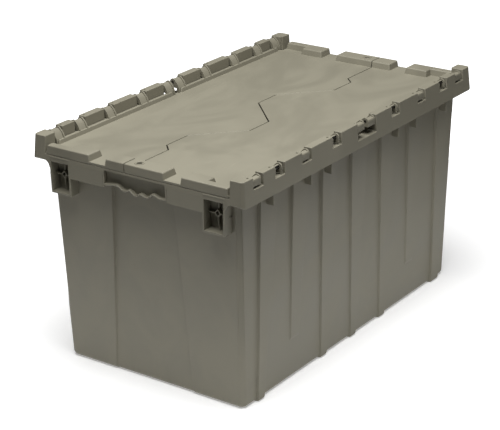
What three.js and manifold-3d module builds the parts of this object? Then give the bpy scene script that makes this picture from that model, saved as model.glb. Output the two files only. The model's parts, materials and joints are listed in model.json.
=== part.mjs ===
// An attached lid tote: a tapered moulded container whose two interlocking lid halves
// hinge on steel rods along its long rims.
// Millimetres, +Z up. The origin is the middle of the underside, X runs along the long side.

import * as THREE from "three";
import { mergeVertices } from "three/addons/utils/BufferGeometryUtils.js";
import Module from "manifold-3d";

const wasm = await Module();
wasm.setup();

// ---------- driving dimensions ----------

// Container walls: half sizes at the base and how far they have spread at WALL_TOP.
const BASE_HALF_X = 258.5;
const BASE_HALF_Y = 145;
const SPREAD_X = 9.5;
const SPREAD_Y = 7;
const WALL_TOP = 290;
const WALL = 2.5;
const FLOOR = 2.5;
const BASE_EDGE = 5;
const WALL_RADIUS = 9;
const RIM_RADIUS = 5;
const CORNER_STEPS = 4;

// Rim: a deck that the lids lie on, a skirt that hangs outside it, hinge blocks above it.
const RIM_HALF_X = 282.5;
const RIM_HALF_Y = 169;
const RIM_LEAN = 2.4;
const RIM_WALL = 2.6;
const SKIRT_BOTTOM = 287;
const END_SKIRT_BOTTOM = 272;
const DECK_TOP = 298.5;
const DECK_THICK = 3;
const RIM_TOP = 322;
const BLOCK_INNER_Y = 154.6;
const POST_INNER_X = 259;
const POST_INNER_Y = 147.2;

// Hinge: rod axis, and the notches along each long rim where the lid knuckles sit.
const AXIS_Y = 160.6;
const AXIS_Z = 316;
const ROD_RADIUS = 1.8;
const BORE_RADIUS = 2.2;
const ROD_INNER_X = 5.2;
const ROD_OUTER_X = 265;
const NOTCH_WIDTH = 21;
const NOTCH_FLOOR = 306.8;
const CLOSED_NOTCHES = [-248.5, -142.5, 142.5, 248.5];
const OPEN_NOTCHES = [-202.5, -73, 73, 202.5];
const CENTRE_NOTCH_WIDTH = 46;
const KNUCKLE_WIDTH = 17;
const KNUCKLE_SHIFT = -1.1;
const CENTRE_KNUCKLE_X = 13;
const KNUCKLE_RADIUS = 5.4;
const RIB = 2.6;

// Ribs on each long wall: left and right edge under the rim, left and right edge at the foot, foot height.
const WALL_RIBS = [
  { top: [-229, -191], foot: [-230, -216], footZ: 0 },
  { top: [-158, -122], foot: [-155, -140], footZ: 58 },
  { top: [-90, -54], foot: [-82, -67], footZ: 0 },
  { top: [-20, 20], foot: [-7, 7], footZ: 0 },
  { top: [54, 90], foot: [69, 84], footZ: 0 },
  { top: [128, 164], foot: [141, 158], footZ: 58 },
  { top: [207, 243], foot: [215, 236], footZ: 0 },
];
const RIB_RAISE_FOOT = 1.5;
const RIB_RAISE_TOP = 5;

// Gussets between the wall and the long skirts.
const GUSSETS_X = [-215, -131, -84, 84, 131, 215];
const GUSSET_THICK = 3.2;
const GUSSET_BOTTOM = 272;

// End walls: sunk middle panel, handle recess and stiffening brackets.
const PANEL_HALF_Y_TOP = 48;
const PANEL_HALF_Y_FOOT = 64.5;
const PANEL_SINK_TOP = 5;
const PANEL_SINK_FOOT = 1.5;
const HANDLE_HALF_Y = 51.5;
const HANDLE_DEPTH = 6.1;
const HANDLE_LIP = [273.6, 276.2];
const BRACKET_Y = [106, 141];
const BRACKET_BOTTOM = 247;
const BRACKET_WALL = 2.5;

// Lid halves.
const LID_BOTTOM = 298.8;
const LID_TOP = 302;
const LID_HALF_X = 281.8;
const LID_CORNER_X = 258;
const LID_HINGE_Y = 153.9;
const LID_CORNER_Y = 146;
const BAR_TOP = 311;
const BAR_INNER_X = 254.3;
const BAR_SLOPE = 3;
const BAR_NARROW_X = 267;
const BAR_NARROW_Y = 110;
const BAR_GAP = [48, 72];
const BAND_TOP = 307.5;
const BAND_INNER_Y = 147.5;
const BAND_HALF_GAP = 8;
const BAND_END_X = 253;
const SEAM_GAP = 1.8;
const SEAM = [
  [282.5, -16],
  [191, -16],
  [178, -29],
  [133, -29],
  [73, 29],
  [29, 29],
  [-29, -29],
  [-73, -29],
  [-133, 29],
  [-178, 29],
  [-191, 16],
  [-282.5, 16],
];
const EYELET_X = 269.6;
const EYELET_RADIUS = 4;

// ---------- solids ----------

// A closed three.js geometry as a solid that can be joined and cut.
function solid(geometry) {
  geometry.deleteAttribute("normal");
  geometry.deleteAttribute("uv");
  const merged = mergeVertices(geometry, 1e-4);
  return new wasm.Manifold(
    new wasm.Mesh({
      numProp: 3,
      vertProperties: merged.getAttribute("position").array,
      triVerts: new Uint32Array(merged.index.array),
    }),
  );
}

function box([x0, x1], [y0, y1], [z0, z1]) {
  const geometry = new THREE.BoxGeometry(x1 - x0, y1 - y0, z1 - z0);
  geometry.translate((x0 + x1) / 2, (y0 + y1) / 2, (z0 + z1) / 2);
  return solid(geometry);
}

// An [a, b] outline swept from one position to another along the axis that normal names.
function prism(outline, [from, to], normal) {
  const shape = new THREE.Shape(outline.map(([a, b]) => new THREE.Vector2(a, b)));
  const geometry = new THREE.ExtrudeGeometry(shape, { depth: to - from, bevelEnabled: false });
  geometry.translate(0, 0, from);
  const x = new THREE.Vector3(1, 0, 0);
  const y = new THREE.Vector3(0, 1, 0);
  const z = new THREE.Vector3(0, 0, 1);
  if (normal === "x") {
    geometry.applyMatrix4(new THREE.Matrix4().makeBasis(y, z, x));
  }
  if (normal === "y") {
    geometry.translate(0, 0, -from - to);
    geometry.applyMatrix4(new THREE.Matrix4().makeBasis(x, z, y.negate()));
  }
  return solid(geometry);
}

// A closed skin over a stack of convex rings with equal point counts, lowest ring first.
function loft(rings) {
  const count = rings[0].length;
  const last = (rings.length - 1) * count;
  const index = [];
  for (let level = 0; level < last; level += count) {
    for (let i = 0; i < count; i += 1) {
      const here = level + i;
      const next = level + ((i + 1) % count);
      index.push(here, next, next + count);
      index.push(here, next + count, here + count);
    }
  }
  for (let i = 1; i < count - 1; i += 1) {
    index.push(0, i + 1, i);
    index.push(last, last + i, last + i + 1);
  }
  const geometry = new THREE.BufferGeometry();
  geometry.setAttribute("position", new THREE.Float32BufferAttribute(rings.flat(2), 3));
  geometry.setIndex(index);
  return solid(geometry);
}

// A rounded rectangle of points at one height, anticlockwise seen from above.
function roundedRing(halfX, halfY, radius, z) {
  const points = [];
  const corners = [
    [1, 1],
    [-1, 1],
    [-1, -1],
    [1, -1],
  ];
  corners.forEach(([sx, sy], quarter) => {
    for (let step = 0; step <= CORNER_STEPS; step += 1) {
      const angle = ((quarter + step / CORNER_STEPS) * Math.PI) / 2;
      const x = sx * (halfX - radius) + radius * Math.cos(angle);
      const y = sy * (halfY - radius) + radius * Math.sin(angle);
      points.push([x, y, z]);
    }
  });
  return points;
}

// A four-sided ring from its X and Y ranges.
function squareRing([x0, x1], [y0, y1], z) {
  return [
    [x0, y0, z],
    [x1, y0, z],
    [x1, y1, z],
    [x0, y1, z],
  ];
}

function barX(radius, [x0, x1], y, z) {
  const geometry = new THREE.CylinderGeometry(radius, radius, x1 - x0, 12);
  geometry.rotateZ(Math.PI / 2);
  geometry.translate((x0 + x1) / 2, y, z);
  return solid(geometry);
}

function join(solids) {
  return solids.reduce((all, one) => all.add(one));
}

function geometryOf(made) {
  const data = made.getMesh();
  const geometry = new THREE.BufferGeometry();
  geometry.setAttribute("position", new THREE.Float32BufferAttribute(data.vertProperties, 3));
  geometry.setIndex(Array.from(data.triVerts));
  return geometry;
}

// A solid together with its copy turned half a turn about the vertical axis, for the opposite side.
function withOpposite(made) {
  const turned = geometryOf(made);
  turned.rotateZ(Math.PI);
  return made.add(solid(turned));
}

function mesh(name, made, material) {
  const geometry = geometryOf(made);
  geometry.computeVertexNormals();
  const result = new THREE.Mesh(geometry, material);
  result.name = name;
  return result;
}

// ---------- container ----------

function halfX(z) {
  return BASE_HALF_X + (SPREAD_X * z) / WALL_TOP;
}

function halfY(z) {
  return BASE_HALF_Y + (SPREAD_Y * z) / WALL_TOP;
}

function between(foot, top, z) {
  return foot + ((top - foot) * z) / WALL_TOP;
}

function wallBlock() {
  const ring = (inset, z) => roundedRing(halfX(z) - inset, halfY(z) - inset, WALL_RADIUS, z);
  return loft([ring(BASE_EDGE, 0), ring(0, BASE_EDGE), ring(0, DECK_TOP)]);
}

// The wide shallow panel sunk into the -X end wall.
function endPanelCut() {
  const ring = (z) => {
    const face = halfX(z) - between(PANEL_SINK_FOOT, PANEL_SINK_TOP, z);
    const half = between(PANEL_HALF_Y_FOOT, PANEL_HALF_Y_TOP, z);
    return squareRing([-halfX(z) - 5, -face], [-half, half], z);
  };
  return loft([ring(-1), ring(DECK_TOP - DECK_THICK)]);
}

function cavity() {
  const ring = (z) => {
    const sink = between(PANEL_SINK_FOOT, PANEL_SINK_TOP, z);
    return roundedRing(halfX(z) - sink - WALL, halfY(z) - WALL, WALL_RADIUS - WALL, z);
  };
  return loft([ring(FLOOR), ring(RIM_TOP)]);
}

function wallRib({ top, foot, footZ }) {
  const ring = (range, z) => {
    const raise = between(RIB_RAISE_FOOT, RIB_RAISE_TOP, z);
    return squareRing(range, [-halfY(z) - raise, -halfY(z) + 1], z);
  };
  const start = footZ + BASE_EDGE;
  return loft([ring(foot, start), ring(top, DECK_TOP - 1)]);
}

function gusset(x) {
  const half = GUSSET_THICK / 2;
  return box([x - half, x + half], [-RIM_HALF_Y + RIM_WALL, -WALL_TOP / 2], [GUSSET_BOTTOM, DECK_TOP - 1]);
}

// One open stiffening box under the -X rim, with crossed ribs and a diamond boss.
function bracket(side) {
  const [near, far] = BRACKET_Y;
  const range = (inset) => (side > 0 ? [near + inset, far - inset] : [-far + inset, -near - inset]);
  const depth = [-RIM_HALF_X, -BASE_HALF_X];
  const middleY = (side * (near + far)) / 2;
  const middleZ = (BRACKET_BOTTOM + DECK_TOP) / 2;
  const shell = box(depth, range(0), [BRACKET_BOTTOM, DECK_TOP - 1]);
  const hollow = box([-RIM_HALF_X - 5, -BASE_HALF_X], range(BRACKET_WALL), [
    BRACKET_BOTTOM + BRACKET_WALL,
    DECK_TOP - DECK_THICK,
  ]);
  const ribDepth = [-RIM_HALF_X + 5, -BASE_HALF_X];
  const upright = box(ribDepth, [middleY - 1.1, middleY + 1.1], [BRACKET_BOTTOM + 1, DECK_TOP - 1]);
  const level = box(ribDepth, range(1), [middleZ - 1.1, middleZ + 1.1]);
  const boss = prism(
    [
      [middleY - 4.5, middleZ],
      [middleY, middleZ - 5.5],
      [middleY + 4.5, middleZ],
      [middleY, middleZ + 5.5],
    ],
    [-RIM_HALF_X + 3, -BASE_HALF_X],
    "x",
  );
  return { shell, hollow, ribs: join([upright, level, boss]) };
}

// The skirt across the -X end, with the handle plate set back behind a lip.
function endSkirt() {
  const outer = -RIM_HALF_X;
  const back = outer + HANDLE_DEPTH;
  const height = [END_SKIRT_BOTTOM, DECK_TOP - 1];
  const wings = [1, -1].map((side) => {
    const range = side > 0 ? [HANDLE_HALF_Y, BRACKET_Y[0] + 1] : [-BRACKET_Y[0] - 1, -HANDLE_HALF_Y];
    return box([outer, outer + RIM_WALL], range, height);
  });
  const cheeks = [1, -1].map((side) => {
    const range = side > 0 ? [HANDLE_HALF_Y - RIM_WALL, HANDLE_HALF_Y] : [-HANDLE_HALF_Y, -HANDLE_HALF_Y + RIM_WALL];
    return box([outer, back + RIM_WALL], range, height);
  });
  const plate = box([back, back + RIM_WALL], [-HANDLE_HALF_Y, HANDLE_HALF_Y], [HANDLE_LIP[0], DECK_TOP - 1]);
  const lip = box([outer, back + RIM_WALL], [-HANDLE_HALF_Y, HANDLE_HALF_Y], HANDLE_LIP);
  return join([...wings, ...cheeks, plate, lip]);
}

function handleCut() {
  const half = HANDLE_HALF_Y - RIM_WALL;
  return box([-RIM_HALF_X - 5, -RIM_HALF_X + HANDLE_DEPTH], [-half, half], [HANDLE_LIP[1], RIM_TOP]);
}

function rimBlock() {
  const lower = roundedRing(RIM_HALF_X, RIM_HALF_Y, RIM_RADIUS, SKIRT_BOTTOM);
  const upper = roundedRing(RIM_HALF_X - RIM_LEAN, RIM_HALF_Y - RIM_LEAN, RIM_RADIUS, RIM_TOP);
  return loft([lower, upper]);
}

// Everything above the deck between the hinge blocks and the corner posts.
function lidSeat() {
  const long = box([-POST_INNER_X, POST_INNER_X], [-BLOCK_INNER_Y, BLOCK_INNER_Y], [DECK_TOP, RIM_TOP + 5]);
  const ends = box([-RIM_HALF_X - 5, RIM_HALF_X + 5], [-POST_INNER_Y, POST_INNER_Y], [DECK_TOP, RIM_TOP + 5]);
  return long.add(ends);
}

// Under-rim hollow of one long side and its blocks, open below.
function blockHollows() {
  const inner = -BLOCK_INNER_Y - RIM_WALL;
  const outer = -RIM_HALF_Y + RIM_LEAN + RIM_WALL;
  const edges = [...CLOSED_NOTCHES, ...OPEN_NOTCHES]
    .flatMap((x) => [x - NOTCH_WIDTH / 2, x + NOTCH_WIDTH / 2])
    .concat([-CENTRE_NOTCH_WIDTH / 2, CENTRE_NOTCH_WIDTH / 2])
    .concat([-POST_INNER_X, POST_INNER_X])
    .sort((a, b) => a - b);
  const hollows = [];
  for (let i = 1; i < edges.length - 1; i += 2) {
    const length = edges[i + 1] - edges[i];
    if (length > 3 * WALL) {
      hollows.push(box([edges[i] + WALL, edges[i + 1] - WALL], [outer, inner], [SKIRT_BOTTOM, RIM_TOP - WALL]));
    }
  }
  for (const [from, to] of [
    [-POST_INNER_X, -CENTRE_NOTCH_WIDTH / 2 - WALL],
    [CENTRE_NOTCH_WIDTH / 2 + WALL, POST_INNER_X],
  ]) {
    hollows.push(box([from, to], [outer, inner], [SKIRT_BOTTOM, NOTCH_FLOOR - WALL]));
  }
  return join(hollows);
}

function postHollows() {
  const depth = [-RIM_HALF_Y + RIM_LEAN + RIM_WALL, -POST_INNER_Y - RIM_WALL];
  const height = [SKIRT_BOTTOM, RIM_TOP - WALL];
  const near = box([-RIM_HALF_X + RIM_LEAN + RIM_WALL, -ROD_OUTER_X - 2.5], depth, height);
  const far = box([ROD_OUTER_X + 2.5, RIM_HALF_X - RIM_LEAN - RIM_WALL], depth, height);
  return near.add(far);
}

function underRim() {
  const inset = RIM_WALL;
  const radius = RIM_RADIUS - inset;
  const low = roundedRing(RIM_HALF_X - inset, RIM_HALF_Y - inset, radius, SKIRT_BOTTOM - 5);
  const high = roundedRing(RIM_HALF_X - inset - 0.6, RIM_HALF_Y - inset - 0.6, radius, DECK_TOP - DECK_THICK);
  return loft([low, high]);
}

function hingeNotches() {
  const depth = [-RIM_HALF_Y - 5, -BLOCK_INNER_Y + 1];
  const notches = [...CLOSED_NOTCHES, ...OPEN_NOTCHES].map((x) =>
    box([x - NOTCH_WIDTH / 2, x + NOTCH_WIDTH / 2], depth, [NOTCH_FLOOR, RIM_TOP + 5]),
  );
  const half = CENTRE_NOTCH_WIDTH / 2;
  notches.push(box([-half, half], depth, [DECK_TOP, RIM_TOP + 5]));
  return join(notches);
}

function toteBody() {
  const brackets = [1, -1].map(bracket);
  const walls = wallBlock()
    .add(join(WALL_RIBS.map(wallRib).map(withOpposite)))
    .subtract(withOpposite(endPanelCut()));
  const bracketShells = join(brackets.map((one) => one.shell.subtract(one.hollow).add(one.ribs)));
  const hung = withOpposite(join([...GUSSETS_X.map(gusset), bracketShells, endSkirt()]));
  const inside = walls.add(hung);
  const hollows = withOpposite(blockHollows().add(postHollows())).add(underRim()).subtract(inside);
  const rim = rimBlock()
    .subtract(lidSeat())
    .subtract(hollows)
    .subtract(withOpposite(hingeNotches()))
    .subtract(withOpposite(handleCut().add(eyeletCut())));
  const bore = barX(BORE_RADIUS, [-ROD_OUTER_X - 0.4, ROD_OUTER_X + 0.4], -AXIS_Y, AXIS_Z);
  const bracketFaces = withOpposite(join(brackets.map((one) => one.hollow.subtract(walls).subtract(one.ribs))));
  return rim.add(inside).subtract(bracketFaces).subtract(cavity()).subtract(withOpposite(bore));
}

// ---------- lid halves ----------

function seamOutline() {
  return SEAM.map(([x, y]) => [THREE.MathUtils.clamp(x, -LID_HALF_X, LID_HALF_X), y - SEAM_GAP / 2]);
}

function lidPanel() {
  const outline = [
    [-LID_HALF_X, -LID_CORNER_Y],
    [-LID_CORNER_X, -LID_CORNER_Y],
    [-LID_CORNER_X, -LID_HINGE_Y],
    [LID_CORNER_X, -LID_HINGE_Y],
    [LID_CORNER_X, -LID_CORNER_Y],
    [LID_HALF_X, -LID_CORNER_Y],
    ...seamOutline(),
  ];
  return prism(outline, [LID_BOTTOM, LID_TOP], "z");
}

// One raised length of the end bar, hollow below. side is -1 for the -X end, +1 for the +X end.
function endBar(side, [y0, y1], innerX) {
  const outline = [
    [LID_HALF_X, LID_BOTTOM],
    [LID_HALF_X, BAR_TOP - 1.7],
    [LID_HALF_X - 1.5, BAR_TOP],
    [innerX + BAR_SLOPE, BAR_TOP],
    [innerX, LID_TOP],
    [innerX, LID_BOTTOM],
  ];
  const hollow = [
    [LID_HALF_X - RIB, LID_BOTTOM - 1],
    [LID_HALF_X - RIB, BAR_TOP - RIB],
    [innerX + BAR_SLOPE + RIB, BAR_TOP - RIB],
    [innerX + RIB + 0.4, LID_BOTTOM - 1],
  ];
  const sided = (points) => points.map(([x, z]) => [side * x, z]);
  return {
    bar: prism(sided(outline), [y0, y1], "y"),
    hollow: prism(sided(hollow), [y0 + RIB, y1 - RIB], "y"),
  };
}

function endBars() {
  const seamY = 16 - SEAM_GAP / 2;
  const bars = [];
  for (const side of [-1, 1]) {
    bars.push(endBar(side, [-LID_CORNER_Y, -BAR_NARROW_Y + RIB], BAR_NARROW_X));
    bars.push(endBar(side, [-BAR_NARROW_Y, -BAR_GAP[1]], BAR_INNER_X));
    bars.push(endBar(side, [-BAR_GAP[0], side < 0 ? seamY : -16 - SEAM_GAP / 2], BAR_INNER_X));
  }
  return bars;
}

function hingeBand([x0, x1]) {
  const outline = [
    [-LID_HINGE_Y, LID_BOTTOM],
    [-LID_HINGE_Y, BAND_TOP],
    [-BAND_INNER_Y - 1.7, BAND_TOP],
    [-BAND_INNER_Y, LID_TOP],
    [-BAND_INNER_Y, LID_BOTTOM],
  ];
  return prism(outline, [x0, x1], "x");
}

// One hinge knuckle and the arm that joins it to the band. An open one is two ribs with a void between them.
function knuckle(x, isOpen) {
  const range = [x - KNUCKLE_WIDTH / 2, x + KNUCKLE_WIDTH / 2];
  const outline = [
    [-5.4, 0],
    [-5.4, -6.2],
    [-4.4, -7.2],
    [6.7, -8.2],
    [6.7, -14],
    [11.4, -14],
    [11.4, -8.5],
    [7.5, 0.6],
    [4, 4],
    [0, 5.4],
  ].map(([inward, up]) => [-AXIS_Y + inward, AXIS_Z + up]);
  const arm = prism(outline, range, "x").add(barX(KNUCKLE_RADIUS, range, -AXIS_Y, AXIS_Z));
  if (!isOpen) {
    return arm;
  }
  const inner = [range[0] + RIB, range[1] - RIB];
  return arm.subtract(box(inner, [-AXIS_Y - 8, -AXIS_Y + 4.6], [AXIS_Z - 10, AXIS_Z + 8]));
}

// The upright hole for a seal near the -X end, through a lid's end bar or the deck below it.
function eyeletCut() {
  const eyelet = new THREE.CylinderGeometry(EYELET_RADIUS, EYELET_RADIUS, 40, 16);
  eyelet.rotateX(Math.PI / 2);
  eyelet.translate(-EYELET_X, 0, BAR_TOP);
  return solid(eyelet);
}

function lidHalf() {
  const bars = endBars();
  const bands = [
    hingeBand([-BAND_END_X, -BAND_HALF_GAP]),
    hingeBand([BAND_HALF_GAP, BAND_END_X]),
  ];
  const knuckles = [
    ...CLOSED_NOTCHES.map((x) => knuckle(x + KNUCKLE_SHIFT, false)),
    ...OPEN_NOTCHES.map((x) => knuckle(x + KNUCKLE_SHIFT, true)),
    knuckle(-CENTRE_KNUCKLE_X, false),
    knuckle(CENTRE_KNUCKLE_X, false),
  ];
  const outside = join([lidPanel(), ...bars.map((one) => one.bar), ...bands, ...knuckles]);
  const cuts = join([...bars.map((one) => one.hollow), eyeletCut()]);
  const bore = barX(BORE_RADIUS, [-LID_HALF_X, LID_HALF_X], -AXIS_Y, AXIS_Z);
  return outside.subtract(cuts).subtract(bore);
}

// ---------- hinge rods ----------

function hingeRod() {
  return barX(ROD_RADIUS, [ROD_INNER_X, ROD_OUTER_X], -AXIS_Y, AXIS_Z);
}

// ---------- assembly ----------

const bodyPlastic = new THREE.MeshStandardMaterial({ color: 0x75715f, roughness: 0.55, metalness: 0 });
const frontPlastic = new THREE.MeshStandardMaterial({ color: 0x8f8a76, roughness: 0.6, metalness: 0 });
const backPlastic = new THREE.MeshStandardMaterial({ color: 0x8a8571, roughness: 0.6, metalness: 0 });
const steel = new THREE.MeshStandardMaterial({ color: 0x9a9a98, roughness: 0.35, metalness: 1 });

const tote = new THREE.Group();
tote.add(mesh("tote_body", toteBody(), bodyPlastic));

const frontHinge = new THREE.Group();
frontHinge.add(mesh("lid_front", lidHalf(), frontPlastic));
frontHinge.add(mesh("hinge_rod_front_right", hingeRod(), steel));
tote.add(frontHinge);

const backHinge = new THREE.Group();
backHinge.rotation.z = Math.PI;
backHinge.add(mesh("lid_back", lidHalf(), backPlastic));
backHinge.add(mesh("hinge_rod_back_left", hingeRod(), steel));
tote.add(backHinge);

for (const [name, turn] of [
  ["hinge_rod_front_left", 0],
  ["hinge_rod_back_right", Math.PI],
]) {
  const side = new THREE.Group();
  side.rotation.z = turn;
  const rod = mesh(name, hingeRod(), steel);
  rod.position.x = -(ROD_INNER_X + ROD_OUTER_X);
  side.add(rod);
  tote.add(side);
}

export default tote;
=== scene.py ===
"""Attached lid tote: the finished mouldings, materials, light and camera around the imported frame.

Shapes are worked out in millimetres in the frame's own axes and become metres when a piece is finished.
"""

import json
import math

import bmesh
import bpy
from mathutils import Matrix, Vector


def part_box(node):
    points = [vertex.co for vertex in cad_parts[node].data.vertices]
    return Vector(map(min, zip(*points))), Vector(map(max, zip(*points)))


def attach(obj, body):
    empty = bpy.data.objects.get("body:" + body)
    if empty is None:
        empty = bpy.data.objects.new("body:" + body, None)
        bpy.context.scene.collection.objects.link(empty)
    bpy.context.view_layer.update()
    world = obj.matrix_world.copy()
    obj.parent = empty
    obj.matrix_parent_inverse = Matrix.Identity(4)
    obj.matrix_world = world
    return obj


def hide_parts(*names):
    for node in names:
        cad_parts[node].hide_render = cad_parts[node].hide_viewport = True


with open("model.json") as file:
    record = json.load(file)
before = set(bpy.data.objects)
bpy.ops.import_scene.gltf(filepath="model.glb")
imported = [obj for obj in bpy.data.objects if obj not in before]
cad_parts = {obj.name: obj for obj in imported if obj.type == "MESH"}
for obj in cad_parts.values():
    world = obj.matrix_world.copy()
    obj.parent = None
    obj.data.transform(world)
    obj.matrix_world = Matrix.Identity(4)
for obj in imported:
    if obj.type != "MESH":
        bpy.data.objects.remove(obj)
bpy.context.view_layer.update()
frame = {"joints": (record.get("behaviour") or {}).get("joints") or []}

# ---------- driving dimensions, in millimetres ----------

MM = 0.001
body_low, body_high = (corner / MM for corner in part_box("tote_body"))
rod_low, rod_high = (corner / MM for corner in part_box("hinge_rod_front_right"))
hinge = {joint["name"]: joint for joint in frame["joints"]}["front_lid_hinge"]

RIM_HALF_X = body_high.x
RIM_HALF_Y = body_high.y
RIM_TOP = body_high.z
AXIS_Y = -hinge["pos_m"][1] / MM
AXIS_Z = hinge["pos_m"][2] / MM
ROD_RADIUS = (rod_high.z - rod_low.z) / 2
ROD_INNER_X = rod_low.x
ROD_OUTER_X = rod_high.x

WALL_TOP = 290
BASE_HALF_X = 258.5
BASE_HALF_Y = 145
SPREAD_X = 9.5
SPREAD_Y = 7
WALL = 2.5
FLOOR = 2.5
WALL_RADIUS = 9
FACET_DEPTH = 1.3
CREASE_Z = 138
CREASE = 0.9
FOOT_ROUND = 7
RIB_FOOT_ROUND = 3.2
WALL_LEVELS = (0, 0.5, 1.5, 3, 5, 7, 30, 57, 58, 60, 63, 78, 90, 122, CREASE_Z - 2, CREASE_Z + 2, 200, 250)
WALL_IN_RIM_TOP = 297

RIM_RADIUS = 5
RIM_LEAN = 2.4
RIM_WALL = 2.6
SKIRT_BOTTOM = 287
CORNER_SKIRT_BOTTOM = 290.5
END_SKIRT_BOTTOM = 272
DECK_TOP = 298.5
DECK_THICK = 3
BLOCK_INNER_Y = 154.6
DIMPLE_Y = 161.5
POST_INNER_X = 259
POST_INNER_Y = 147.2

NOTCH_WIDTH = 21
NOTCH_FLOOR = 306.8
CLOSED_NOTCHES = (-248.5, -142.5, 142.5, 248.5)
OPEN_NOTCHES = (-202.5, -73, 73, 202.5)
CENTRE_NOTCH_HALF = 23
KNUCKLE_WIDTH = 17
KNUCKLE_SHIFT = -1.1
CENTRE_KNUCKLE_X = 13
KNUCKLE_RADIUS = 5.4
KNUCKLE_RIB = 2.3
KNUCKLE_RELIEF = 1.8
BORE_RADIUS = 2.2
RIB_THICK = 2.6

# Ribs on each long wall: left and right edge under the rim and at the foot, height of the foot,
# and how far the rib stands out at the foot and under the rim.
WALL_RIBS = (
    {"top": (-229, -191), "foot": (-230, -216), "foot_z": 0, "raise": (3.4, 4.6)},
    {"top": (-158, -122), "foot": (-155, -140), "foot_z": 62, "raise": (1.2, 4.8)},
    {"top": (-90, -54), "foot": (-82, -67), "foot_z": 0, "raise": (2.2, 4.8)},
    {"top": (-20, 20), "foot": (-7, 7), "foot_z": 0, "raise": (2.2, 4.8)},
    {"top": (54, 90), "foot": (69, 84), "foot_z": 0, "raise": (2.2, 4.8)},
    {"top": (128, 164), "foot": (141, 158), "foot_z": 62, "raise": (1.2, 4.8)},
    {"top": (207, 243), "foot": (215, 236), "foot_z": 0, "raise": (3.4, 4.6)},
)
STEP_ROUND = 0.9
STEP_DRAFT = 0.35

PANEL_HALF_TOP = 48
PANEL_HALF_FOOT = 64.5
PANEL_SINK_TOP = 5
PANEL_SINK_FOOT = 1.5

GUSSETS_X = (-215, -131, -84, 84, 131, 215)
GUSSET_HALF = 1.6
GUSSET_BOTTOM = 272

HANDLE_HALF = 51.5
HANDLE_DEPTH = 6.1
GRIP_THICK = 2.4
GRIP_WAVE = (
    (-51.5, 276.0),
    (-41.8, 275.0),
    (-28.5, 278.3),
    (-18.6, 272.0),
    (-8.4, 274.8),
    (-1.0, 270.8),
    (9.2, 276.0),
    (16.6, 273.6),
    (30.2, 278.8),
    (51.5, 276.3),
)
BRACKET_NEAR = 106
BRACKET_FAR = 141
BRACKET_FAR_FOOT = 139.4
BRACKET_BOTTOM = 247
BRACKET_WALL = 2.5
BRACKET_RIB_BACK = 10

LID_BOTTOM = 298.8
LID_TOP = 302
LID_HALF_X = 281.8
LID_CORNER_X = 258
LID_HINGE_Y = 153.9
LID_CORNER_Y = 146
BAR_TOP = 311
BAR_INNER_X = 254.3
BAR_SLOPE = 3
BAR_NARROW_X = 267
BAR_NARROW_Y = 110
BAR_GAP = (48, 72)
BAND_TOP = 307.5
BAND_FOOT_Y = 147.5
BAND_TOP_Y = 149.2
BAND_HALF_GAP = 8
BAND_END_X = 253
SEAM_SHIFT = (0.5, -0.7)
SEAM = (
    (282.5, -16),
    (191, -16),
    (178, -29),
    (133, -29),
    (73, 29),
    (29, 29),
    (-29, -29),
    (-73, -29),
    (-133, 29),
    (-178, 29),
    (-191, 16),
    (-282.5, 16),
)
LID_RIBS_X = (-224, -160, -96, -32, 32, 96, 160, 224)
LID_RIBS_Y = (-138, -104, -70, -36)
LID_RIB_END_X = 240
LID_RIB_HALF = 0.9
LID_RIB_DEPTH = 4
EYELET_X = 269.6
EYELET_RADIUS = 4

TABLE_RADIUS = 0.7


# ---------- solids ----------


def closed_solid(points, faces):
    """A closed mesh object in millimetres with its faces pointing out."""
    mesh = bpy.data.meshes.new("solid")
    mesh.from_pydata([tuple(point) for point in points], [], faces)
    work = bmesh.new()
    work.from_mesh(mesh)
    bmesh.ops.recalc_face_normals(work, faces=work.faces)
    work.to_mesh(mesh)
    work.free()
    made = bpy.data.objects.new("solid", mesh)
    bpy.context.scene.collection.objects.link(made)
    return made


def loft(rings):
    """A closed skin over a stack of rings with equal point counts."""
    count = len(rings[0])
    points = [point for ring in rings for point in ring]
    faces = [tuple(range(count)), tuple(range(len(points) - count, len(points)))]
    for level in range(0, len(points) - count, count):
        for i in range(count):
            after = (i + 1) % count
            faces.append((level + i, level + after, level + count + after, level + count + i))
    return closed_solid(points, faces)


def prism(outline, span, axis):
    """An outline swept along an axis: (y, z) along "x", (x, z) along "y" or (x, y) along "z"."""
    place = {
        "x": lambda a, b, t: (t, a, b),
        "y": lambda a, b, t: (a, t, b),
        "z": lambda a, b, t: (a, b, t),
    }[axis]
    return loft([[place(a, b, t) for a, b in outline] for t in span])


def block(x, y, z):
    """A box from its X, Y and Z ranges."""
    return prism([(x[0], y[0]), (x[1], y[0]), (x[1], y[1]), (x[0], y[1])], z, "z")


def square_ring(x, y, z):
    return [(x[0], y[0], z), (x[1], y[0], z), (x[1], y[1], z), (x[0], y[1], z)]


def rounded_ring(half_x, half_y, radius, height, steps=8):
    """A rounded rectangle of points; height gives each point's z from its x and y."""
    ring = []
    for quarter, (side_x, side_y) in enumerate(((1, 1), (-1, 1), (-1, -1), (1, -1))):
        for step in range(steps + 1):
            angle = (quarter + step / steps) * math.pi / 2
            x = side_x * (half_x - radius) + radius * math.cos(angle)
            y = side_y * (half_y - radius) + radius * math.sin(angle)
            ring.append((x, y, height(x, y)))
    return ring


def round_bar(radius, span, y, z, steps=24):
    """A round bar along X."""
    angles = [math.tau * step / steps for step in range(steps)]
    outline = [(y + radius * math.cos(angle), z + radius * math.sin(angle)) for angle in angles]
    return prism(outline, span, "x")


def round_post(radius, x, y, span, steps=32):
    """A round bar along Z."""
    angles = [math.tau * step / steps for step in range(steps)]
    outline = [(x + radius * math.cos(angle), y + radius * math.sin(angle)) for angle in angles]
    return prism(outline, span, "z")


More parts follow.
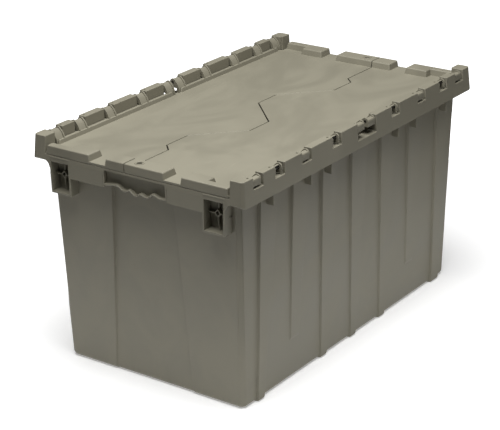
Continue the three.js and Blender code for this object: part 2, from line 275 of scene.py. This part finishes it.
def rounded(made, width, segments=2, least_angle=30, chosen=None):
    """The solid with its sharp edges rounded over; chosen may pick edges by their two end points."""
    work = bmesh.new()
    work.from_mesh(made.data)
    bmesh.ops.dissolve_limit(
        work, angle_limit=math.radians(0.5), verts=work.verts, edges=work.edges
    )
    sharp = [
        edge
        for edge in work.edges
        if edge.is_manifold
        and abs(edge.calc_face_angle_signed()) > math.radians(least_angle)
        and (chosen is None or chosen(edge.verts[0].co, edge.verts[1].co))
    ]
    bmesh.ops.bevel(
        work,
        geom=sharp,
        offset=width,
        offset_type="OFFSET",
        segments=segments,
        profile=0.5,
        affect="EDGES",
        clamp_overlap=True,
    )
    work.to_mesh(made.data)
    work.free()
    return made


def baked(made):
    """The object with its modifiers applied."""
    graph = bpy.context.evaluated_depsgraph_get()
    mesh = bpy.data.meshes.new_from_object(made.evaluated_get(graph))
    before = made.data
    made.modifiers.clear()
    made.data = mesh
    bpy.data.meshes.remove(before)
    return made


def combined(base, tools, operation):
    for tool in tools:
        modifier = base.modifiers.new("combine", "BOOLEAN")
        modifier.operation = operation
        modifier.solver = "MANIFOLD"
        modifier.object = tool
    baked(base)
    for tool in tools:
        bpy.data.objects.remove(tool)
    return base


def join(base, *tools):
    return combined(base, tools, "UNION")


def cut(base, *tools):
    return combined(base, tools, "DIFFERENCE")


def half_turned(made):
    """A copy turned half a turn about the vertical axis."""
    mesh = made.data.copy()
    mesh.transform(Matrix.Rotation(math.pi, 4, "Z"))
    copy = bpy.data.objects.new("solid", mesh)
    bpy.context.scene.collection.objects.link(copy)
    return copy


def both_sides(parts):
    """The parts and their half-turned copies."""
    return [*parts, *(half_turned(part) for part in parts)]


def smooth_piece(made, name, material):
    """Names the piece, takes it to metres and shades its rounded edges smoothly."""
    made.name = name
    made.data.name = name
    made.data.transform(Matrix.Scale(MM, 4))
    made.data.materials.clear()
    made.data.materials.append(material)
    made.data.shade_smooth()
    made.data.set_sharp_from_angle(angle=math.radians(38))
    weighted = made.modifiers.new("weighted", "WEIGHTED_NORMAL")
    weighted.keep_sharp = True
    weighted.weight = 80
    return baked(made)


# ---------- container walls ----------


def between(low, high, part):
    return low + (high - low) * part


def clamp(value):
    return min(1, max(0, value))


def half_x(z):
    return BASE_HALF_X + SPREAD_X * z / WALL_TOP


def half_y(z):
    return BASE_HALF_Y + SPREAD_Y * z / WALL_TOP


def edge_rounding(z, radius):
    """How far a face falls back at height z, where its bottom edge is rounded to that radius."""
    if z >= radius:
        return 0
    return radius - math.sqrt(radius**2 - (radius - z) ** 2)


def step_up(edge, height, way):
    """A rounded step at edge: (place, lift) points, in the order that they are passed going way."""
    root = min(STEP_ROUND, 0.45 * abs(height)) * (1 if height > 0 else -1)
    profile = (
        (-STEP_DRAFT - STEP_ROUND, 0),
        (-STEP_DRAFT - 0.3 * STEP_ROUND, 0.3 * root),
        (-STEP_DRAFT, root),
        (STEP_DRAFT, height - root),
        (STEP_DRAFT + 0.3 * STEP_ROUND, height - 0.3 * root),
        (STEP_DRAFT + STEP_ROUND, height),
    )
    return [(edge + way * place, lift) for place, lift in profile]


def long_wall(z, inset):
    """(x, y) points of the -Y wall from left to right, inset for the inner face."""
    part = z / WALL_TOP
    crease = CREASE * (z / CREASE_Z if z < CREASE_Z else (WALL_TOP - z) / (WALL_TOP - CREASE_Z))
    points = []
    for rib in WALL_RIBS:
        left = between(rib["foot"][0], rib["top"][0], part) + 0.8 * inset
        right = between(rib["foot"][1], rib["top"][1], part) - 0.8 * inset
        rise = between(rib["raise"][0], rib["raise"][1], part)
        rise *= math.sqrt(clamp((z - rib["foot_z"] + 5) / 6)) if rib["foot_z"] else 1
        for place, lift in step_up(left, rise, 1) + step_up(right, rise, -1)[::-1]:
            on_rib = lift / rise if rise else 0
            fall = between(edge_rounding(z, FOOT_ROUND), edge_rounding(z, RIB_FOOT_ROUND), on_rib)
            out = half_y(z) - inset + lift + max(0, crease) * (1 - on_rib) - fall
            points.append((place, -out))
    return points


def end_wall(z, inset):
    """(x, y) points of the -X wall from back to front, round its sunk middle panel."""
    part = z / WALL_TOP
    half = between(PANEL_HALF_FOOT, PANEL_HALF_TOP, part) + 0.8 * inset
    sink = between(PANEL_SINK_FOOT, PANEL_SINK_TOP, part)
    fall = edge_rounding(z, FOOT_ROUND)
    points = []
    for place, lift in step_up(half, -sink, -1) + step_up(-half, -sink, 1)[::-1]:
        points.append((-(half_x(z) - inset + lift - fall), place))
    return points


def corner(z, inset, side_x):
    """(x, y) points round a -Y corner; its middle is a flat facet that runs out towards the foot."""
    facet = FACET_DEPTH * clamp((z - 78) / 44)
    fall = edge_rounding(z, FOOT_ROUND)
    radius = WALL_RADIUS - inset
    profile = (
        (0, 0),
        (9, 0),
        (16, 0),
        (19, 0.1),
        (21.5, 0.85),
        (24, 1),
        (45, 1.4),
        (66, 1),
        (68.5, 0.85),
        (71, 0.1),
        (74, 0),
        (81, 0),
        (90, 0),
    )
    centre_x = half_x(z) - WALL_RADIUS
    centre_y = half_y(z) - WALL_RADIUS
    points = []
    for degrees, depth in profile:
        angle = math.radians(degrees)
        reach = radius - facet * depth - fall
        points.append((centre_x + reach * math.cos(angle), -centre_y - reach * math.sin(angle)))
    if side_x < 0:
        return [(-x, y) for x, y in points]
    return points[::-1]


def wall_ring(z, inset, height):
    """One closed ring round the container at height z of the walls, drawn at the given height."""
    side = end_wall(z, inset) + corner(z, inset, -1) + long_wall(z, inset) + corner(z, inset, 1)
    return [(x, y, height) for x, y in side] + [(-x, -y, height) for x, y in side]


def container_walls():
    return loft([wall_ring(z, 0, z) for z in (*WALL_LEVELS, WALL_IN_RIM_TOP)])


def container_cavity():
    rings = [wall_ring(z, WALL, FLOOR + z) for z in (*WALL_LEVELS, WALL_TOP)]
    rings.append(wall_ring(WALL_TOP, WALL, RIM_TOP + 5))
    return loft(rings)


# ---------- rim ----------


def rim_block():
    """The solid block of the rim, its skirt a little higher along the ends."""

    def skirt(x, y):
        along_end = clamp((abs(x) - RIM_HALF_X + RIM_RADIUS) / RIM_RADIUS)
        return between(SKIRT_BOTTOM, CORNER_SKIRT_BOTTOM, along_end)

    lower = rounded_ring(RIM_HALF_X, RIM_HALF_Y, RIM_RADIUS, skirt)
    upper = rounded_ring(
        RIM_HALF_X - RIM_LEAN, RIM_HALF_Y - RIM_LEAN, RIM_RADIUS, lambda x, y: RIM_TOP
    )
    return loft([lower, upper])


def lid_seat():
    height = (DECK_TOP, RIM_TOP + 5)
    long = block((-POST_INNER_X, POST_INNER_X), (-BLOCK_INNER_Y, BLOCK_INNER_Y), height)
    ends = block((-RIM_HALF_X - 5, RIM_HALF_X + 5), (-POST_INNER_Y, POST_INNER_Y), height)
    return long, ends


def hinge_notches():
    depth = (-RIM_HALF_Y - 5, -BLOCK_INNER_Y + 1)
    notches = []
    for x in CLOSED_NOTCHES + OPEN_NOTCHES:
        half = NOTCH_WIDTH / 2
        notches.append(block((x - half, x + half), depth, (NOTCH_FLOOR, RIM_TOP + 5)))
    centre = (-CENTRE_NOTCH_HALF, CENTRE_NOTCH_HALF)
    notches.append(block(centre, depth, (DECK_TOP, RIM_TOP + 5)))
    return notches


def under_rim():
    inset = RIM_WALL
    low = rounded_ring(
        RIM_HALF_X - inset, RIM_HALF_Y - inset, RIM_RADIUS - inset, lambda x, y: SKIRT_BOTTOM - 5
    )
    high = rounded_ring(
        RIM_HALF_X - inset - 0.6,
        RIM_HALF_Y - inset - 0.6,
        RIM_RADIUS - inset,
        lambda x, y: DECK_TOP - DECK_THICK,
    )
    return loft([low, high])


def block_dimples():
    """Small ejector marks on the hinge blocks beside each notch."""
    marks = []
    for notch in CLOSED_NOTCHES + OPEN_NOTCHES:
        x = notch - NOTCH_WIDTH / 2 - 4.5
        marks.append(round_post(1.5, x, -DIMPLE_Y, (RIM_TOP - 1.2, RIM_TOP + 1), 12))
    return marks


def rim():
    made = cut(rim_block(), *lid_seat(), *both_sides(hinge_notches()))
    rounded(made, 1.0, 3)
    cut(made, under_rim(), *both_sides(block_dimples()))
    return made


# ---------- parts that hang below the rim ----------


def gussets():
    parts = []
    for x in GUSSETS_X:
        width = (x - GUSSET_HALF, x + GUSSET_HALF)
        depth = (-RIM_HALF_Y + RIM_WALL, -half_y(GUSSET_BOTTOM) + 1)
        parts.append(rounded(block(width, depth, (GUSSET_BOTTOM, DECK_TOP - 1)), 0.5))
    return parts


def wave_height(y):
    """Height of the grip lip's middle at y, eased from each point of the wave to the next."""
    for (y0, z0), (y1, z1) in zip(GRIP_WAVE, GRIP_WAVE[1:]):
        if y <= y1:
            part = (1 - math.cos(math.pi * (y - y0) / (y1 - y0))) / 2
            return between(z0, z1, part)
    return GRIP_WAVE[-1][1]


def grip_lip():
    """The wavy lip under the hand grip at the -X end."""
    outer = -RIM_HALF_X
    back = outer + HANDLE_DEPTH + RIM_WALL
    half = GRIP_THICK / 2
    rings = []
    steps = 72
    for step in range(steps + 1):
        y = between(-HANDLE_HALF, HANDLE_HALF, step / steps)
        z = wave_height(y)
        front = [
            (outer + 0.9, y, z + half),
            (outer + 0.2, y, z + 0.6),
            (outer, y, z),
            (outer + 0.2, y, z - 0.6),
        ]
        rings.append([(back, y, z + half), *front, (outer + 0.9, y, z - half), (back, y, z - half)])
    return loft(rings)


def hand_grip():
    """The -X end skirt: two wings and the plate of the hand grip, set back behind its lip."""
    outer = -RIM_HALF_X
    back = outer + HANDLE_DEPTH
    top = DECK_TOP - 1
    parts = []
    for side in (-1, 1):
        wing = sorted((side * HANDLE_HALF, side * (BRACKET_NEAR + 1)))
        cheek = sorted((side * (HANDLE_HALF - RIM_WALL), side * HANDLE_HALF))
        parts.append(rounded(block((outer, outer + RIM_WALL), wing, (END_SKIRT_BOTTOM, 293)), 0.8))
        parts.append(rounded(block((outer, back + RIM_WALL), cheek, (END_SKIRT_BOTTOM + 1, 293)), 0.8))
    plate = (back, back + RIM_WALL)
    parts.append(block(plate, (-HANDLE_HALF, HANDLE_HALF), (END_SKIRT_BOTTOM + 1.4, top)))
    parts.append(grip_lip())
    return parts


def hand_grip_recess():
    half = HANDLE_HALF - RIM_WALL
    depth = (-RIM_HALF_X - 5, -RIM_HALF_X + HANDLE_DEPTH)
    return rounded(block(depth, (-half, half), (END_SKIRT_BOTTOM - 2, DECK_TOP - DECK_THICK)), 0.8)


def curved_rib(start, end, bow, depth, thickness):
    """A thin rib in the (y, z) plane along an arc that bows sideways between two points."""
    start = Vector(start)
    end = Vector(end)
    along = end - start
    side = Vector((-along.y, along.x)).normalized()
    steps = 10
    line = [
        start + along * (i / steps) + side * bow * math.sin(math.pi * i / steps)
        for i in range(steps + 1)
    ]
    left = [point + side * thickness / 2 for point in line]
    right = [point - side * thickness / 2 for point in line]
    return prism([tuple(point) for point in left + right[::-1]], depth, "x")


def bracket(side):
    """An open stiffening box under the -X rim: (outer box, hollow, ribs inside it)."""
    outer = -RIM_HALF_X

    def box_between(front, low, high, wall):
        foot = sorted((side * (BRACKET_NEAR + wall), side * (BRACKET_FAR_FOOT - wall)))
        head = sorted((side * (BRACKET_NEAR + wall), side * (BRACKET_FAR - wall)))
        depth = (front, -BASE_HALF_X)
        return loft([square_ring(depth, foot, low), square_ring(depth, head, high)])

    span = sorted((side * BRACKET_NEAR, side * BRACKET_FAR))
    box = rounded(box_between(outer, BRACKET_BOTTOM, DECK_TOP - 1, 0), 0.8, 3)
    hollow = box_between(outer - 5, BRACKET_BOTTOM + BRACKET_WALL, DECK_TOP - DECK_THICK, BRACKET_WALL)
    middle_y = (span[0] + span[1]) / 2
    middle_z = 272
    depth = (outer + BRACKET_RIB_BACK, -BASE_HALF_X)
    reach = 4.5
    ribs = [
        curved_rib((middle_y, middle_z + reach), (middle_y + 4, DECK_TOP), 2.5, depth, 1.6),
        curved_rib((middle_y, middle_z - reach), (middle_y - 3, BRACKET_BOTTOM), 1.5, depth, 1.6),
        curved_rib((middle_y + reach, middle_z), (span[1], middle_z + 2), -2, depth, 1.6),
        curved_rib((middle_y - reach, middle_z), (span[0], middle_z - 3), 2, depth, 1.6),
    ]

    def diamond_outline(half_y, half_z):
        return [
            (middle_y - half_y, middle_z),
            (middle_y, middle_z - half_z),
            (middle_y + half_y, middle_z),
            (middle_y, middle_z + half_z),
        ]

    boss_depth = (outer + BRACKET_RIB_BACK - 1.5, -BASE_HALF_X)
    boss = diamond_outline(5, 6)
    well = diamond_outline(3, 3.6)
    diamond = cut(rounded(prism(boss, boss_depth, "x"), 0.5), prism(well, (outer, outer + 14), "x"))
    return box, hollow, [*ribs, diamond]


def corner_fillet(side):
    """The web that curves from the corner skirt down into the bracket's outer side."""
    outer = -RIM_HALF_X
    top = CORNER_SKIRT_BOTTOM + 2
    radius = 9
    steps = 8
    outline = [(BRACKET_FAR - 1, top), (BRACKET_FAR - 1, CORNER_SKIRT_BOTTOM - radius)]
    for step in range(steps + 1):
        angle = math.pi - (math.pi / 2) * step / steps
        y = BRACKET_FAR + radius + radius * math.cos(angle)
        z = CORNER_SKIRT_BOTTOM - radius + radius * math.sin(angle)
        outline.append((y, z))
    outline.append((BRACKET_FAR + radius, top))
    return prism([(side * y, z) for y, z in outline], (outer + 0.05, outer + RIM_WALL), "x")


def eyelet_hole():
    return round_post(EYELET_RADIUS, -EYELET_X, 0, (DECK_TOP - 20, BAR_TOP + 20))


def tote_body():
    made = join(container_walls(), rim(), *both_sides(gussets()))
    grips = both_sides([hand_grip_recess()])
    cut(made, *grips)
    join(made, *both_sides(hand_grip()), *both_sides([corner_fillet(1), corner_fillet(-1)]))
    for side in (1, -1):
        box, hollow, ribs = bracket(side)
        shells = [box, half_turned(box)]
        hollows = [hollow, half_turned(hollow)]
        for shell, inside in zip(shells, hollows):
            cut(shell, inside)
        join(made, *shells, *both_sides(ribs))
    bore = round_bar(BORE_RADIUS, (-ROD_OUTER_X - 0.4, ROD_OUTER_X + 0.4), -AXIS_Y, AXIS_Z)
    return cut(made, container_cavity(), *both_sides([bore, eyelet_hole()]))


# ---------- lid halves ----------


def lid_panel():
    outline = [
        (-LID_HALF_X, -LID_CORNER_Y),
        (-LID_CORNER_X, -LID_CORNER_Y),
        (-LID_CORNER_X, -LID_HINGE_Y),
        (LID_CORNER_X, -LID_HINGE_Y),
        (LID_CORNER_X, -LID_CORNER_Y),
        (LID_HALF_X, -LID_CORNER_Y),
    ]
    for x, y in SEAM:
        outline.append((max(-LID_HALF_X, min(LID_HALF_X, x + SEAM_SHIFT[0])), y + SEAM_SHIFT[1]))
    return rounded(prism(outline, (LID_BOTTOM, LID_TOP), "z"), 0.7, 3)


def end_bar(side, span, inner_x, meets_seam):
    """One raised length of the end bar; its free ends slope and its end at the seam is upright."""
    low = (side * inner_x, side * LID_HALF_X)
    high = (side * (inner_x + BAR_SLOPE), side * (LID_HALF_X - 0.4))
    tilt = 2.2
    top_span = (span[0] + tilt, span[1] if meets_seam else span[1] - tilt)
    rings = [
        square_ring(sorted(low), span, LID_BOTTOM + 0.2),
        square_ring(sorted(high), top_span, BAR_TOP),
    ]

    def at_seam(a, b):
        return meets_seam and min(a.y, b.y) > span[1] - 0.01

    made = rounded(loft(rings), 1.7, 4, chosen=lambda a, b: max(a.z, b.z) > LID_TOP and not at_seam(a, b))
    return rounded(made, 0.35, 2, chosen=lambda a, b: max(a.z, b.z) > LID_TOP and at_seam(a, b))


def end_bar_hollow(side, span, inner_x):
    low = (side * (inner_x + RIB_THICK), side * (LID_HALF_X - RIB_THICK))
    high = (side * (inner_x + BAR_SLOPE + RIB_THICK), side * (LID_HALF_X - RIB_THICK))
    rings = [
        square_ring(sorted(low), (span[0] + RIB_THICK, span[1] - RIB_THICK), LID_BOTTOM - 1),
        square_ring(sorted(high), (span[0] + 2 * RIB_THICK, span[1] - 2 * RIB_THICK), BAR_TOP - RIB_THICK),
    ]
    return loft(rings)


def bar_spans(side):
    """(Y span, inner x, whether it ends at the seam) of the raised lengths on one end of the front lid."""
    seam_y = (16 if side < 0 else -16) + SEAM_SHIFT[1]
    return (
        ((-LID_CORNER_Y, -BAR_NARROW_Y + 6), BAR_NARROW_X, False),
        ((-BAR_NARROW_Y, -BAR_GAP[1]), BAR_INNER_X, False),
        ((-BAR_GAP[0], seam_y), BAR_INNER_X, True),
    )


def hinge_band(span):
    tilt = 3
    low = square_ring(span, (-LID_HINGE_Y, -BAND_FOOT_Y), LID_BOTTOM + 0.2)
    high = square_ring((span[0] + tilt, span[1] - tilt), (-LID_HINGE_Y, -BAND_TOP_Y), BAND_TOP)
    return rounded(loft([low, high]), 0.9, 3, chosen=lambda a, b: max(a.z, b.z) > LID_TOP)


def arc_points(radius, low, high, steps=10):
    """Points round the hinge axis from one angle to another, in degrees; radius may follow the angle."""
    points = []
    for step in range(steps + 1):
        degrees = between(low, high, step / steps)
        reach = radius(degrees)
        points.append((reach * math.cos(math.radians(degrees)), reach * math.sin(math.radians(degrees))))
    return points


def about_axis(outline):
    return [(-AXIS_Y + inward, AXIS_Z + up) for inward, up in outline]


def knuckle_outline(relief):
    """(y, z) outline of a hinge knuckle and its arm; relief sinks its top and inner side."""
    inner = 11.4 - relief
    outline = [(-5.4, 0), (-5.4, -6.2), (-4.4, -7.2), (6.7, -8.2), (6.7, -14)]
    outline += [(inner, -14), (inner, -8.5), (8.2 - relief, -1)]
    outline += arc_points(lambda degrees: KNUCKLE_RADIUS - relief * clamp((150 - degrees) / 30), 35, 172)
    return about_axis(outline)


def inner_web_outline():
    """(y, z) outline of the thin web that closes the inner side of an open knuckle."""
    outline = [(6.7, -14), (9.6, -14), (9.6, -8.5), (6.4, -1)]
    outline += arc_points(lambda degrees: KNUCKLE_RADIUS - KNUCKLE_RELIEF, 35, 112)
    outline += arc_points(lambda degrees: KNUCKLE_RADIUS - KNUCKLE_RELIEF - 1.1, 112, 20)
    outline += [(4.4, -1.5), (6.7, -8.5)]
    return about_axis(outline)


def knuckle(x, is_open):
    """A hinge knuckle: two ribs with a sunk web between, whole or only along the inner side."""
    span = (x - KNUCKLE_WIDTH / 2, x + KNUCKLE_WIDTH / 2)
    ribs = [(span[0], span[0] + KNUCKLE_RIB), (span[1] - KNUCKLE_RIB, span[1])]
    parts = [rounded(prism(knuckle_outline(0), rib, "x"), 0.5) for rib in ribs]
    web = inner_web_outline() if is_open else knuckle_outline(KNUCKLE_RELIEF)
    parts.append(prism(web, (span[0] + 1, span[1] - 1), "x"))
    return parts


def eyelet_ring():
    outline = [(6.6, 310.2), (6.6, 311.3), (6.2, 311.8), (5.2, 311.8), (4.6, 311.2), (3, 310.2)]
    steps = 32
    rings = []
    for radius, z in outline:
        angles = [math.tau * step / steps for step in range(steps)]
        rings.append([(-EYELET_X + radius * math.cos(a), radius * math.sin(a), z) for a in angles])
    return loft(rings)


def underside_ribs():
    """Shallow stiffening ribs below the lid panel, clear of the container's inner walls."""
    half = LID_RIB_HALF
    height = (LID_BOTTOM - LID_RIB_DEPTH, LID_BOTTOM + 1)
    across = (LID_RIBS_Y[0], LID_RIBS_Y[-1])
    along = (-LID_RIB_END_X, LID_RIB_END_X)
    ribs = []
    for x in LID_RIBS_X:
        ribs.append(rounded(block((x - half, x + half), across, height), 0.4))
    for y in LID_RIBS_Y:
        ribs.append(rounded(block(along, (y - half, y + half), height), 0.4))
    return ribs


def lid_half():
    bars = []
    hollows = []
    for side in (-1, 1):
        for span, inner_x, meets_seam in bar_spans(side):
            bars.append(end_bar(side, span, inner_x, meets_seam))
            hollows.append(end_bar_hollow(side, span, inner_x))
    bands = [hinge_band((-BAND_END_X, -BAND_HALF_GAP)), hinge_band((BAND_HALF_GAP, BAND_END_X))]
    knuckles = []
    for x in CLOSED_NOTCHES:
        knuckles += knuckle(x + KNUCKLE_SHIFT, False)
    for x in OPEN_NOTCHES:
        knuckles += knuckle(x + KNUCKLE_SHIFT, True)
    for x in (-CENTRE_KNUCKLE_X, CENTRE_KNUCKLE_X):
        knuckles += knuckle(x, False)
    made = join(lid_panel(), *bars, *bands, *knuckles, *underside_ribs(), eyelet_ring())
    bore = round_bar(BORE_RADIUS, (-LID_HALF_X, LID_HALF_X), -AXIS_Y, AXIS_Z)
    return cut(made, *hollows, bore, eyelet_hole())


# ---------- hinge rods ----------


def hinge_rod():
    """A drawn rod with chamfered ends."""
    chamfer = 0.5
    steps = 24
    rings = []
    for x, radius in (
        (ROD_INNER_X, ROD_RADIUS - chamfer),
        (ROD_INNER_X + chamfer, ROD_RADIUS),
        (ROD_OUTER_X - chamfer, ROD_RADIUS),
        (ROD_OUTER_X, ROD_RADIUS - chamfer),
    ):
        angles = [math.tau * step / steps for step in range(steps)]
        rings.append([(x, -AXIS_Y + radius * math.cos(a), AXIS_Z + radius * math.sin(a)) for a in angles])
    return loft(rings)


# ---------- materials ----------


def new_material(name):
    material = bpy.data.materials.new(name)
    material.use_nodes = True
    nodes = material.node_tree.nodes
    return material, nodes, material.node_tree.links, nodes["Principled BSDF"]


def noise(nodes, links, source, scale, detail=3.0, roughness=0.55, distortion=0.0):
    node = nodes.new("ShaderNodeTexNoise")
    node.inputs["Scale"].default_value = scale
    node.inputs["Detail"].default_value = detail
    node.inputs["Roughness"].default_value = roughness
    node.inputs["Distortion"].default_value = distortion
    links.new(source, node.inputs["Vector"])
    return node.outputs["Fac"]


def stretched(nodes, links, source, scale):
    node = nodes.new("ShaderNodeMapping")
    node.inputs["Scale"].default_value = scale
    links.new(source, node.inputs["Vector"])
    return node.outputs["Vector"]


def ranged(nodes, links, source, low, high, to_low, to_high):
    node = nodes.new("ShaderNodeMapRange")
    node.interpolation_type = "SMOOTHSTEP"
    node.inputs["From Min"].default_value = low
    node.inputs["From Max"].default_value = high
    node.inputs["To Min"].default_value = to_low
    node.inputs["To Max"].default_value = to_high
    links.new(source, node.inputs["Value"])
    return node.outputs["Result"]


def mixed(nodes, links, factor, first, second):
    """A colour mix; first and second are colours or sockets."""
    node = nodes.new("ShaderNodeMix")
    node.data_type = "RGBA"
    links.new(factor, node.inputs["Factor"])
    for name, value in (("A", first), ("B", second)):
        socket = next(i for i in node.inputs if i.name == name and i.type == "RGBA")
        if isinstance(value, tuple):
            socket.default_value = (*value, 1.0)
        else:
            links.new(value, socket)
    return next(o for o in node.outputs if o.type == "RGBA")


def bumped(nodes, links, height, distance, strength, below=None):
    node = nodes.new("ShaderNodeBump")
    node.inputs["Distance"].default_value = distance
    node.inputs["Strength"].default_value = strength
    links.new(height, node.inputs["Height"])
    if below is not None:
        links.new(below, node.inputs["Normal"])
    return node.outputs["Normal"]


def shaded(colour, amount):
    return tuple(channel * amount for channel in colour)


def moulded_plastic(name, colour, cloud, scuff):
    """Satin moulded plastic: flow clouds, fine grain, faint scuffs and a slightly wavy surface."""
    material, nodes, links, shader = new_material(name)
    place = nodes.new("ShaderNodeTexCoord").outputs["Object"]
    flow = noise(nodes, links, stretched(nodes, links, place, (7, 11, 9)), 1.0, 3.0, 0.5, 1.6)
    fine = noise(nodes, links, place, 420, 2.0, 0.6)
    tone = mixed(
        nodes,
        links,
        ranged(nodes, links, flow, 0.32, 0.68, 0, 1),
        shaded(colour, 1 - cloud),
        shaded(colour, 1 + cloud),
    )
    specks = ranged(nodes, links, fine, 0.62, 0.8, 0, 0.35)
    tone = mixed(nodes, links, specks, tone, shaded(colour, 0.8))
    streak = noise(nodes, links, stretched(nodes, links, place, (26, 210, 60)), 1.0, 4.0, 0.7, 0.8)
    patch = noise(nodes, links, place, 9, 2.0, 0.5)
    rub = nodes.new("ShaderNodeMath")
    rub.operation = "MULTIPLY"
    links.new(ranged(nodes, links, streak, 0.58, 0.72, 0, 1), rub.inputs[0])
    links.new(ranged(nodes, links, patch, 0.5, 0.65, 0, scuff), rub.inputs[1])
    tone = mixed(nodes, links, rub.outputs[0], tone, shaded(colour, 1.35))
    links.new(tone, shader.inputs["Base Color"])
    links.new(ranged(nodes, links, flow, 0.3, 0.7, 0.5, 0.6), shader.inputs["Roughness"])
    shader.inputs["Specular IOR Level"].default_value = 0.45
    wave = noise(nodes, links, place, 16, 1.0, 0.4)
    normal = bumped(nodes, links, wave, 0.0006, 0.35)
    grain = noise(nodes, links, place, 900, 2.0, 0.6)
    normal = bumped(nodes, links, grain, 0.00006, 0.35, normal)
    links.new(normal, shader.inputs["Normal"])
    return material


def drawn_steel():
    material, nodes, links, shader = new_material("drawn_steel")
    place = nodes.new("ShaderNodeTexCoord").outputs["Object"]
    lines = noise(nodes, links, stretched(nodes, links, place, (20, 1500, 1500)), 1.0, 3.0, 0.6)
    tone = mixed(nodes, links, lines, (0.07, 0.068, 0.066), (0.16, 0.155, 0.15))
    links.new(tone, shader.inputs["Base Color"])
    links.new(ranged(nodes, links, lines, 0.2, 0.8, 0.25, 0.45), shader.inputs["Roughness"])
    shader.inputs["Metallic"].default_value = 1.0
    links.new(bumped(nodes, links, lines, 0.00004, 0.4), shader.inputs["Normal"])
    return material


def pale_floor(name, glow):
    """White studio paper; glow lifts it to an even white in the picture."""
    material, nodes, links, shader = new_material(name)
    place = nodes.new("ShaderNodeTexCoord").outputs["Object"]
    tone = noise(nodes, links, place, 3, 2.0, 0.5)
    links.new(mixed(nodes, links, tone, (0.86, 0.86, 0.86), (0.9, 0.9, 0.9)), shader.inputs["Base Color"])
    shader.inputs["Roughness"].default_value = 0.9
    shader.inputs["Specular IOR Level"].default_value = 0.1
    shader.inputs["Emission Color"].default_value = (1, 1, 1, 1)
    shader.inputs["Emission Strength"].default_value = glow
    return material


# ---------- studio ----------


def make_floor():
    """A round white table under the tote, and white ground far around it that casts no light on it."""
    bpy.ops.mesh.primitive_circle_add(
        vertices=96, radius=TABLE_RADIUS, fill_type="NGON", location=(0, 0, -0.0005)
    )
    table = bpy.context.object
    table.name = "table"
    table.data.materials.append(pale_floor("table_paper", 0.3))
    bpy.ops.mesh.primitive_plane_add(size=24, location=(0, 0, -0.004))
    ground = bpy.context.object
    ground.name = "ground"
    ground.data.materials.append(pale_floor("ground_paper", 1.0))
    ground.visible_diffuse = False
    ground.visible_glossy = False


def soft_light(name, place, target, size, power, colour=(1, 1, 1)):
    light = bpy.data.lights.new(name, "AREA")
    light.shape = "RECTANGLE"
    light.size, light.size_y = size
    light.energy = power
    light.color = colour
    lamp = bpy.data.objects.new(name, light)
    lamp.location = place
    aim = Vector(target) - Vector(place)
    lamp.rotation_euler = aim.to_track_quat("-Z", "Y").to_euler()
    bpy.context.scene.collection.objects.link(lamp)


def make_lights():
    world = bpy.data.worlds.new("studio")
    world.use_nodes = True
    world.node_tree.nodes["Background"].inputs["Color"].default_value = (1, 1, 1, 1)
    world.node_tree.nodes["Background"].inputs["Strength"].default_value = 0.06
    bpy.context.scene.world = world
    soft_light("overhead", (-0.25, -0.15, 1.6), (0, 0, 0.2), (1.2, 1.2), 40)


CAMERA_PLACE = (-1.7875, -1.2666, 1.0387)
CAMERA_AZIMUTH = -54.80
CAMERA_ELEVATION = 22.62
CAMERA_ROLL = -0.84
CAMERA_LENS = 121.0
CAMERA_SHIFT = (-0.0372, 0.0306)


def make_camera():
    azimuth = math.radians(CAMERA_AZIMUTH)
    elevation = math.radians(CAMERA_ELEVATION)
    roll = math.radians(CAMERA_ROLL)
    back = Vector(
        (
            math.sin(azimuth) * math.cos(elevation),
            -math.cos(azimuth) * math.cos(elevation),
            math.sin(elevation),
        )
    )
    level = Vector((math.cos(azimuth), math.sin(azimuth), 0))
    upright = back.cross(level)
    right = level * math.cos(roll) + upright * math.sin(roll)
    up = upright * math.cos(roll) - level * math.sin(roll)
    turn = Matrix((right, up, back)).transposed().to_4x4()
    lens = bpy.data.cameras.new("camera")
    lens.sensor_width = 36
    lens.lens = CAMERA_LENS
    lens.shift_x, lens.shift_y = CAMERA_SHIFT
    lens.clip_end = 50
    camera = bpy.data.objects.new("camera", lens)
    camera.matrix_world = Matrix.Translation(CAMERA_PLACE) @ turn
    bpy.context.scene.collection.objects.link(camera)
    bpy.context.scene.camera = camera


# ---------- assembly ----------


def finished(made, name, material, body, node):
    smooth_piece(made, name, material)
    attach(made, body)
    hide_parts(node)


def make_tote():
    body_plastic = moulded_plastic("tote_plastic", (0.2, 0.187, 0.141), 0.05, 0.1)
    lid_plastic = moulded_plastic("lid_plastic", (0.2, 0.187, 0.141), 0.06, 0.3)
    steel = drawn_steel()
    finished(tote_body(), "tote_moulding", body_plastic, "tote", "tote_body")
    front = lid_half()
    back = half_turned(front)
    finished(front, "front_lid_moulding", lid_plastic, "front_lid", "lid_front")
    finished(back, "back_lid_moulding", lid_plastic, "back_lid", "lid_back")
    right = hinge_rod()
    left = hinge_rod()
    left.data.transform(Matrix.Translation((-ROD_INNER_X - ROD_OUTER_X, 0, 0)))
    for rod, names in ((right, ("front_right", "back_left")), (left, ("front_left", "back_right"))):
        opposite = half_turned(rod)
        for made, name in ((rod, names[0]), (opposite, names[1])):
            finished(made, f"rod_{name}", steel, "tote", f"hinge_rod_{name}")


bpy.context.scene.view_settings.view_transform = "Standard"
make_camera()
make_floor()
make_lights()
make_tote()
